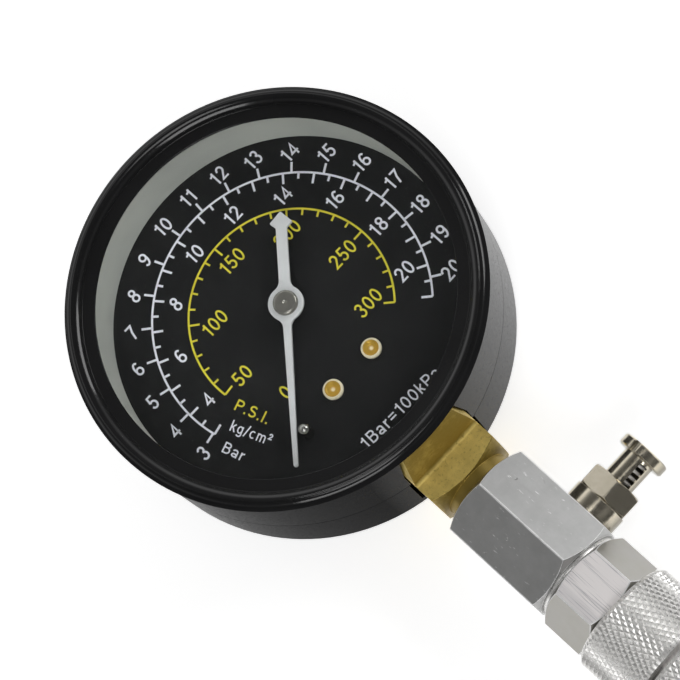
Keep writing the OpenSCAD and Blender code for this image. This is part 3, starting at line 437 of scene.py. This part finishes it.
for name, obj in nodes.items():
    if name in SOFT_EDGES:
        soften(obj, *SOFT_EDGES[name])
    else:
        split = obj.modifiers.new("edges", "EDGE_SPLIT")
        split.split_angle = SHARP_ANGLE


# Meshes of the scene's own pieces

def piece(name, mesh, look, body, stands_for=()):
    """Adds a piece, on the given body, or on none when no body is given."""
    obj = bpy.data.objects.new(name, mesh)
    bpy.context.scene.collection.objects.link(obj)
    mesh.materials.clear()
    mesh.materials.append(MATERIALS[look])
    if body:
        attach(obj, body)
    if stands_for:
        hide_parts(*stands_for)
    return obj


def mesh_of(name, verts, faces, smooth=False):
    mesh = bpy.data.meshes.new(name)
    mesh.from_pydata([Vector(v) * MM for v in verts], [], faces)
    mesh.validate()
    bm = bmesh.new()
    bm.from_mesh(mesh)
    bmesh.ops.recalc_face_normals(bm, faces=bm.faces)
    bm.to_mesh(mesh)
    bm.free()
    if smooth:
        mesh.shade_smooth()
    return mesh


# Dial print: thin ink with a real thickness, drawn as ribbons with a section of four corners
INK, INK_STEP, INK_LAYERS = 0.03, 0.004, 4
CORNERS = 4
CLOSED_GAP = 1e-4
LEAST_MITRE = 0.5
ARC_STEP = 15

# Scales: degrees at 0 psi and for each psi, units in psi, radii of the lines and of the numbers
PRINT_AT = Vector((0.33, 0.34))
PSI_ZERO, PSI_TURN = 231.2, -0.9205
BAR_PSI, KG_PSI = 14.5038, 14.2233
WHITE_R, YELLOW_R = 26.95, 19.8
BAR_NUMBER_R, KG_NUMBER_R = 31.0, 22.5
LONG_TICK, SHORT_TICK = 2.1, 1.25
NUMBER_TURN, NUMBER_H = 0.8, 2.95
WHITE_LINE, WHITE_TICK, WHITE_PEN = 0.40, 0.44, 0.40
YELLOW_LINE, YELLOW_PEN = 0.38, 0.37
WHITE_FIRST, WHITE_LAST = 3, 21
PSI_FIRST, PSI_LAST, PSI_LONG, PSI_SHORT = 50, 300, 50, 10

# Words: text, middle, height, weight of the lines, turn in degrees, width of the signs
WHITE_WORDS = (
    ("kg/cm²", (-21.2, -10.3), 2.15, 0.26, -69, 1.12),
    ("Bar", (-25.9, -10.3), 2.15, 0.29, -73, 1.22),
    ("1Bar=100kPa", (0.6, -28.3), 2.5, 0.32, -2, 1.12),
)
YELLOW_NUMBERS = (
    ("50", (-14.65, -1.31)), ("100", (-11.0, 9.84)), ("150", (-0.27, 15.8)), ("200", (10.5, 11.4)),
    ("250", (14.56, 0.39)), ("300", (11.0, -9.87)), ("0", (-11.47, -9.85)),
)
YELLOW_WORDS = ("P.S.I.", (-18.2, -7.7), 2.2, 0.31, -72.5, 1.22)

# Strokes of each sign on a height of 1: its width, then lists of points (x, y) and of
# arcs (x, y, half width, half height, first angle, last angle)
SIGNS = {
    "0": (0.56, [[(0.28, 0.5, 0.21, 0.43, 90, 450)]]),
    "1": (0.44, [[(0.30, 0), (0.30, 0.98)], [(0.33, 0.95), (0.24, 0.80), (0.06, 0.74)]]),
    "2": (0.56, [[(0.28, 0.69, 0.20, 0.24, 180, -30), (0.08, 0.07), (0.53, 0.07)]]),
    "3": (0.56, [[(0.27, 0.73, 0.18, 0.20, 165, -90)], [(0.27, 0.29, 0.21, 0.24, 90, -165)]]),
    "4": (0.58, [[(0.42, 0), (0.42, 0.90), (0.06, 0.28), (0.57, 0.28)]]),
    "5": (0.56, [
        [(0.49, 0.93), (0.15, 0.93), (0.10, 0.50)], [(0.27, 0.32, 0.21, 0.25, 140, -160)],
    ]),
    "6": (0.56, [[(0.29, 0.50, 0.22, 0.43, 50, 195)], [(0.28, 0.30, 0.21, 0.23, 180, 540)]]),
    "7": (0.54, [[(0.04, 0.93), (0.50, 0.93), (0.30, 0.50), (0.20, 0)]]),
    "8": (0.56, [[(0.28, 0.74, 0.18, 0.19, 90, 450)], [(0.28, 0.29, 0.21, 0.23, 90, 450)]]),
    "9": (0.56, [[(0.27, 0.50, 0.22, 0.43, 230, 375)], [(0.28, 0.70, 0.21, 0.23, 0, 360)]]),
    "B": (0.64, [
        [(0.10, 0), (0.10, 1)], [(0.10, 0.93), (0.36, 0.74, 0.18, 0.19, 90, -90), (0.10, 0.55)],
        [(0.36, 0.31, 0.21, 0.24, 90, -90), (0.10, 0.07)],
    ]),
    "P": (0.62, [
        [(0.10, 0), (0.10, 1)], [(0.10, 0.93), (0.36, 0.71, 0.20, 0.22, 90, -90), (0.10, 0.49)],
    ]),
    "S": (0.60, [[(0.30, 0.73, 0.21, 0.20, 25, 270), (0.30, 0.29, 0.23, 0.22, 80, -155)]]),
    "I": (0.22, [[(0.11, 0), (0.11, 1)]]),
    "a": (0.52, [
        [(0.25, 0.50, 0.18, 0.16, 165, 0), (0.43, 0)], [(0.24, 0.20, 0.17, 0.13, 0, 360)],
    ]),
    "c": (0.48, [[(0.27, 0.36, 0.20, 0.29, 50, 310)]]),
    "g": (0.54, [
        [(0.26, 0.37, 0.18, 0.28, 0, 360)], [(0.44, 0.70), (0.26, -0.04, 0.18, 0.17, 0, -155)],
    ]),
    "k": (0.48, [[(0.10, 0), (0.10, 1)], [(0.44, 0.70), (0.10, 0.30)], [(0.22, 0.44), (0.46, 0)]]),
    "m": (0.80, [
        [(0.10, 0), (0.10, 0.70)], [(0.25, 0.46, 0.15, 0.18, 180, 0), (0.40, 0)],
        [(0.55, 0.46, 0.15, 0.18, 180, 0), (0.70, 0)],
    ]),
    "r": (0.36, [[(0.10, 0), (0.10, 0.70)], [(0.32, 0.40, 0.22, 0.24, 180, 85)]]),
    "/": (0.30, [[(0.0, -0.05), (0.30, 1.0)]]),
    "=": (0.58, [[(0.04, 0.63), (0.54, 0.63)], [(0.04, 0.35), (0.54, 0.35)]]),
    ".": (0.22, [[(0.11, 0), (0.11, 0.16)]]),
    "²": (0.34, [[(0.17, 0.84, 0.11, 0.12, 180, -30), (0.05, 0.52), (0.32, 0.52)]]),
}
SIGN_GAP = 0.12


def dial_angle(psi):
    return PSI_ZERO + PSI_TURN * psi


def polar(radius, angle):
    turn = math.radians(angle)
    return PRINT_AT + Vector((math.cos(turn), math.sin(turn))) * radius


def stroke(parts):
    """The points of one stroke, with its arcs in short steps."""
    points = []
    for part in parts:
        if len(part) == 2:
            points.append(Vector(part))
            continue
        x, y, half_w, half_h, first, last = part
        count = max(3, int(abs(last - first) / ARC_STEP))
        for i in range(count + 1):
            angle = math.radians(first + (last - first) * i / count)
            points.append(Vector((x + half_w * math.cos(angle), y + half_h * math.sin(angle))))
    return points


class Ink:
    """Collects the print of one colour as one mesh."""

    def __init__(self):
        self.verts, self.faces, self.layer = [], [], 0

    def ribbon(self, points, width):
        """A flat line through points in mm. Neighbouring lines differ a little in height."""
        closed = (points[0] - points[-1]).length < CLOSED_GAP
        points = points[:-1] if closed else points
        count = len(points)
        self.layer = (self.layer + 1) % INK_LAYERS
        low, top = DIAL_Z, DIAL_Z + INK + self.layer * INK_STEP
        base = len(self.verts)
        for i, p in enumerate(points):
            open_end = not closed and i == count - 1
            ahead = None if open_end else (points[(i + 1) % count] - p).normalized()
            behind = (p - points[i - 1]).normalized() if closed or i > 0 else ahead
            ahead = ahead or behind
            along = (ahead + behind).normalized()
            side = Vector((-along.y, along.x)) * width / 2 / max(along.dot(ahead), LEAST_MITRE)
            for edge, z in ((p + side, low), (p - side, low), (p - side, top), (p + side, top)):
                self.verts.append((edge.x, edge.y, z))
        for i in range(count if closed else count - 1):
            a, b = base + CORNERS * i, base + CORNERS * ((i + 1) % count)
            for k in range(CORNERS):
                n = (k + 1) % CORNERS
                self.faces.append((a + k, a + n, b + n, b + k))
        if not closed:
            self.faces.append(tuple(base + k for k in range(CORNERS)))
            self.faces.append(tuple(base + CORNERS * count - 1 - k for k in range(CORNERS)))

    def arc(self, radius, width, first, last):
        count = int(abs(last - first))
        angles = [first + (last - first) * i / count for i in range(count + 1)]
        self.ribbon([polar(radius, angle) for angle in angles], width)

    def tick(self, angle, inner, outer, width):
        self.ribbon([polar(inner, angle), polar(outer, angle)], width)

    def words(self, text, middle, height, weight, turn=0.0, wide=1.0):
        """Text about its middle, with signs of that height and lines of that weight."""
        total = sum(SIGNS[c][0] for c in text) + SIGN_GAP * (len(text) - 1)
        around = Matrix.Rotation(math.radians(turn), 2)
        at = -total / 2
        for c in text:
            for parts in SIGNS[c][1]:
                line = [Vector(((p.x + at) * wide, p.y - 0.5)) * height for p in stroke(parts)]
                self.ribbon([around @ p + Vector(middle) for p in line], weight)
            at += SIGNS[c][0] + SIGN_GAP

    def print(self, name, look):
        piece(name, mesh_of(name, self.verts, self.faces), look, "gauge")


white = Ink()
white_ends = [dial_angle(kg * KG_PSI) for kg in (WHITE_FIRST, WHITE_LAST)]
white.arc(WHITE_R, WHITE_LINE, *white_ends)
for bar in range(WHITE_FIRST, WHITE_LAST):
    angle = dial_angle(bar * BAR_PSI)
    white.tick(angle, WHITE_R, WHITE_R + LONG_TICK, WHITE_TICK)
    white.words(str(bar), polar(BAR_NUMBER_R, angle + NUMBER_TURN), NUMBER_H, WHITE_PEN)
for half in range(2 * WHITE_FIRST, 2 * WHITE_LAST + 1):
    length = LONG_TICK if half % 2 == 0 else SHORT_TICK
    white.tick(dial_angle(half / 2 * KG_PSI), WHITE_R - length, WHITE_R, WHITE_TICK)
for kg in range(WHITE_FIRST + 1, WHITE_LAST, 2):
    angle = dial_angle(kg * KG_PSI)
    white.words(str(kg), polar(KG_NUMBER_R, angle + NUMBER_TURN), NUMBER_H, WHITE_PEN)
for row in WHITE_WORDS:
    white.words(*row)
white.print("dial_print_white", "print_white")

yellow = Ink()
yellow.arc(YELLOW_R, YELLOW_LINE, dial_angle(PSI_FIRST), dial_angle(PSI_LAST))
for psi in range(PSI_FIRST, PSI_LAST + 1, PSI_SHORT):
    length = LONG_TICK if psi % PSI_LONG == 0 else SHORT_TICK
    yellow.tick(dial_angle(psi), YELLOW_R - length, YELLOW_R, YELLOW_LINE)
for text, middle in YELLOW_NUMBERS:
    yellow.words(text, middle, NUMBER_H, YELLOW_PEN)
yellow.words(*YELLOW_WORDS)
yellow.print("dial_print_yellow", "print_yellow")


# Bezel: the solid's profile with its edges rounded
ROUND_STEPS, CURVE_STEPS = 4, 14
BEZEL_SEGMENTS = 288
BEZEL_R, BEZEL_TOP, BEZEL_ROUND, BEZEL_STEP = 40.0, 32.4, 1.6, 0.3
BEZEL_RIDGE = BEZEL_R - BEZEL_ROUND
LIP_R, LIP_Z, LIP_TOP = 34.1, 30.4, 30.8
FOOT_R, FOOT_Z = 36.4, 31.0
RIM_Z, RIM_CHAMFER, SKIRT_Z = 30.0, 0.4, 28.6
SKIRT_R = (36.25, 37.35)


def curve(x, z, radius, first, last):
    """Rows of a profile along an arc, with no rounding of their own."""
    steps = range(CURVE_STEPS + 1)
    angles = [math.radians(first + (last - first) * i / CURVE_STEPS) for i in steps]
    return [(x + radius * math.cos(a), z + radius * math.sin(a), 0) for a in angles]


def rounded(profile):
    """A closed profile of (r, z, rounding) rows, with each corner rounded."""
    points = []
    places = [Vector(row[:2]) for row in profile]
    for i, p in enumerate(places):
        radius = profile[i][2]
        if radius == 0:
            points.append(p)
            continue
        before, after = places[i - 1] - p, places[(i + 1) % len(places)] - p
        reach = radius / math.tan(before.angle(after) / 2)
        reach = min(reach, before.length / 2, after.length / 2)
        first, last = p + before.normalized() * reach, p + after.normalized() * reach
        for k in range(ROUND_STEPS + 1):
            t = k / ROUND_STEPS
            points.append(first * (1 - t) ** 2 + p * (2 * t * (1 - t)) + last * t ** 2)
    return points


def lathe(profile, segments):
    verts = [
        (p.x * math.cos(angle), p.x * math.sin(angle), p.y)
        for angle in (2 * math.pi * k / segments for k in range(segments)) for p in profile
    ]
    count = len(profile)
    faces = []
    for k in range(segments):
        a, b = k * count, (k + 1) % segments * count
        for i in range(count):
            n = (i + 1) % count
            faces.append((a + i, b + i, b + n, a + n))
    return verts, faces


bead_w = BEZEL_RIDGE - FOOT_R
bead_turn = 2 * math.degrees(math.atan((BEZEL_TOP - FOOT_Z) / bead_w))
bead_r = bead_w / math.sin(math.radians(bead_turn))
bezel_profile = [(LIP_R, LIP_Z, 0.05), (LIP_R, LIP_TOP, 0.12)]
bezel_profile += curve(BEZEL_RIDGE, BEZEL_TOP - bead_r, bead_r, 90 + bead_turn, 90)
bezel_profile += curve(BEZEL_RIDGE, BEZEL_TOP - BEZEL_STEP - BEZEL_ROUND, BEZEL_ROUND, 90, 0)
bezel_profile += [
    (BEZEL_R, RIM_Z + RIM_CHAMFER, 0.05), (BEZEL_R - RIM_CHAMFER, RIM_Z, 0.1),
    (SKIRT_R[1], RIM_Z, 0), (SKIRT_R[1], SKIRT_Z, 0.05),
    (SKIRT_R[0], SKIRT_Z, 0.05), (SKIRT_R[0], LIP_Z, 0),
]
bezel_mesh = mesh_of("bezel_ring", *lathe(rounded(bezel_profile), BEZEL_SEGMENTS), smooth=True)
bezel = piece("bezel_ring", bezel_mesh, "bezel", "gauge", ("bezel",))
even_normals(bezel)


# Knurled collar and nut: a diamond knurl whose grooves lean 30 degrees from the stem
KNURL_COUNT = 64
KNURL_LEAN = math.radians(30)
KNURL_ALONG = 2 * math.pi * KNURL_R / KNURL_COUNT / math.tan(KNURL_LEAN)
KNURL_DEPTH = 0.30
KNURL_FLAT = 0.15
PER_PITCH = 10
RIM = 0.8


def wave(value):
    """0 in a groove, 1 midway between two grooves."""
    return 1 - abs(2 * (value - math.floor(value)) - 1)


def knurl_radius(turn, s):
    height = min(wave(turn + s / KNURL_ALONG), wave(turn - s / KNURL_ALONG)) / (1 - KNURL_FLAT)
    return KNURL_R - KNURL_DEPTH * (1 - min(height, 1))


def stem_point(radius, angle, s):
    return radius * math.sin(angle), -s, STEM_Z + radius * math.cos(angle)


def knurled(name, s0, s1, bore, body, node):
    """A knurled sleeve. Its bore is a list of (s, radius) rows from s1 back to s0, where the
    radius is a number or a function of the turn and s."""
    around = KNURL_COUNT * PER_PITCH
    steps = int((s1 - s0 - 2 * RIM) / KNURL_ALONG * PER_PITCH)
    first = (s0 + s1 - steps * KNURL_ALONG / PER_PITCH) / 2
    rows = [[(s0, KNURL_R - RIM)] * around]
    for i in range(steps + 1):
        s = i * KNURL_ALONG / PER_PITCH
        rows.append([(first + s, knurl_radius(k / PER_PITCH, s)) for k in range(around)])
    rows.append([(s1, KNURL_R - RIM)] * around)
    for s, radius in bore:
        turns = [k / around for k in range(around)]
        rows.append([(s, radius(turn, s) if callable(radius) else radius) for turn in turns])
    verts = []
    for row in rows:
        verts += [stem_point(r, 2 * math.pi * k / around, s) for k, (s, r) in enumerate(row)]
    faces = []
    for i in range(len(rows)):
        a, b = i * around, (i + 1) % len(rows) * around
        for k in range(around):
            n = (k + 1) % around
            if not 0 < i <= steps:
                faces.append((a + k, a + n, b + n, b + k))
                continue
            # Each square of the knurl is split along the groove that it lies beside
            turn, s = (k + 0.5) / PER_PITCH, (i - 0.5) / PER_PITCH
            if wave(turn + s) < wave(turn - s):
                faces += [(a + k, a + n, b + k), (a + n, b + n, b + k)]
            else:
                faces += [(a + k, a + n, b + n), (a + k, b + n, b + k)]
    piece(name, mesh_of(name, verts, faces), "knurl", body, (node,))


COLLAR_BORE_R = 7.55
collar_bore = [(s, COLLAR_BORE_R) for s in reversed(COLLAR_S)]
knurled("collar_knurl", *COLLAR_S, collar_bore, "gauge", "grip_collar")

# The nut's bore from its mouth: a thread, a plain recess, and the neck that the snap ring holds
THREAD_R, THREAD_PITCH, THREAD_DEPTH, THREAD_STEPS = 8.0, 1.5, 0.55, 8
NUT_MOUTH_R, NUT_MOUTH_LEN = 8.6, 0.5
NUT_RECESS_R, NUT_RECESS_END = 8.8, 6.4
NUT_NECK_R, NUT_NECK_LEN = 7.54, 2


def thread(turn, s):
    return THREAD_R + THREAD_DEPTH * (1 - wave(turn + s / THREAD_PITCH))


thread_end, thread_start = NUT_S[1] - NUT_MOUTH_LEN, NUT_S[0] + NUT_RECESS_END
thread_len = thread_end - thread_start
thread_rows = int(thread_len / THREAD_PITCH * THREAD_STEPS)
neck_end = NUT_S[0] + NUT_NECK_LEN
nut_bore = [(NUT_S[1], NUT_MOUTH_R)]
nut_bore += [(thread_end - thread_len * i / thread_rows, thread) for i in range(thread_rows + 1)]
nut_bore += [(thread_start, NUT_RECESS_R), (neck_end, NUT_RECESS_R)]
nut_bore += [(neck_end, NUT_NECK_R), (NUT_S[0], NUT_NECK_R)]
knurled("nut_knurl", *NUT_S, nut_bore, "nut", "swivel_nut")


# Valve spring: the solid's coil, smooth-shaded, in a mesh of its own
coil_mesh = nodes["valve_spring"].data.copy()
coil_mesh.shade_smooth()
coil = piece("valve_coil", coil_mesh, "spring", "gauge", ("valve_spring",))
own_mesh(coil)


# Bourdon tube: the solid's tube, in a mesh of its own, riding on no body
tube_mesh = nodes["bourdon_tube"].data.copy()
tube = piece("tube_bend", tube_mesh, "movement", None, ("bourdon_tube",))
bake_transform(tube)


# Camera: its place, the turn that takes the part's frame to the camera's, and its lens
CAMERA_AT = Vector((-9.95, -195.03, 512.89)) * MM
CAMERA_TURN = Vector((-0.3458, -0.1254, 0.8208))
CAMERA_LENS, SENSOR_W = 151.6, 36
CLIP = (0.01, 50)

camera = bpy.data.objects.new("camera", bpy.data.cameras.new("camera"))
camera.data.lens = CAMERA_LENS
camera.data.sensor_width = SENSOR_W
camera.data.clip_start, camera.data.clip_end = CLIP
seen = Quaternion(CAMERA_TURN.normalized(), CAMERA_TURN.length).to_matrix()
camera.matrix_world = Matrix.Translation(CAMERA_AT) @ seen.transposed().to_4x4()
bpy.context.scene.collection.objects.link(camera)
bpy.context.scene.camera = camera


# Floor: it glows a little, so that it comes out as pale as the photo's ground
FLOOR_HALF, FLOOR_Z = 3000, -0.05
FLOOR_GLOW = 0.64

floor_tree = finish("floor_pale")
floor_tree.set(emission_color=(1, 1, 1, 1), emission_strength=FLOOR_GLOW)
floor_corners = [(x * FLOOR_HALF, y * FLOOR_HALF, FLOOR_Z) for x, y in (
    (-1, -1), (1, -1), (1, 1), (-1, 1),
)]
floor = bpy.data.objects.new("floor", mesh_of("floor", floor_corners, [(0, 1, 2, 3)]))
floor.data.materials.append(floor_tree.material)
bpy.context.scene.collection.objects.link(floor)


# Lights: each softbox's direction from the gauge, its size in metres and its watts
SOFTBOXES = {
    "right": ((0.84, -0.14, 0.52), (0.6, 0.5), 3.9),
    "front": ((-0.44, -0.62, 0.65), (0.65, 0.5), 4.0),
    "top": ((-0.13, -0.11, 0.985), (0.35, 0.3), 0.9),
}
LIGHT_AIM = Vector((0, -30, 15)) * MM
LIGHT_DISTANCE = 1.2

# Tones of the sky by direction, multiplied together. X and Y are taken from -1 to 1 to 0 to 1, and
# Z is 0 at the horizon.
SKY_TONES = {
    "X": ((0.0, 0.7), (0.45, 1.0), (1.0, 1.0)),
    "Z": ((0.0, 0.12), (0.2, 0.2), (0.44, 1.0), (0.6, 1.0), (0.78, 0.15), (1.0, 0.1)),
    "Y": ((0.0, 0.12), (0.40, 0.22), (0.62, 0.52), (0.82, 1.1), (1.0, 1.2)),
}


def softbox(name, direction, size, power):
    """A rectangular light that looks at the gauge from a direction in the part's frame."""
    light = bpy.data.lights.new(name, "AREA")
    light.shape = "RECTANGLE"
    light.size, light.size_y = size
    light.energy = power
    obj = bpy.data.objects.new(name, light)
    away = Vector(direction).normalized()
    obj.location = LIGHT_AIM + away * LIGHT_DISTANCE
    obj.rotation_euler = away.to_track_quat("Z", "Y").to_euler()
    bpy.context.scene.collection.objects.link(obj)


def sky():
    """Soft light from behind, dim overhead, so that the lens stays clear, and along the horizon."""
    world = bpy.data.worlds.new("studio")
    world.use_nodes = True
    bpy.context.scene.world = world
    tree = world.node_tree
    way = tree.nodes.new("ShaderNodeSeparateXYZ")
    tree.links.new(tree.nodes.new("ShaderNodeTexCoord").outputs["Generated"], way.inputs[0])
    tones = []
    for axis, stops in SKY_TONES.items():
        ramp = tree.nodes.new("ShaderNodeValToRGB")
        place = way.outputs[axis]
        if axis != "Z":
            half = tree.nodes.new("ShaderNodeMath")
            half.operation = "MULTIPLY_ADD"
            half.inputs[1].default_value = 0.5
            half.inputs[2].default_value = 0.5
            tree.links.new(place, half.inputs[0])
            place = half.outputs[0]
        tree.links.new(place, ramp.inputs["Fac"])
        while len(ramp.color_ramp.elements) < len(stops):
            ramp.color_ramp.elements.new(0.5)
        for element, (at, tone) in zip(ramp.color_ramp.elements, stops):
            element.position = at
            element.color = (tone, tone, tone, 1)
        tones.append(ramp.outputs["Color"])
    light = tones.pop()
    for tone in tones:
        product = tree.nodes.new("ShaderNodeVectorMath")
        product.operation = "MULTIPLY"
        tree.links.new(light, product.inputs[0])
        tree.links.new(tone, product.inputs[1])
        light = product.outputs[0]
    tree.links.new(light, tree.nodes["Background"].inputs["Color"])


for name, row in SOFTBOXES.items():
    softbox(name, *row)
sky()
bpy.context.scene.view_settings.view_transform = "Standard"
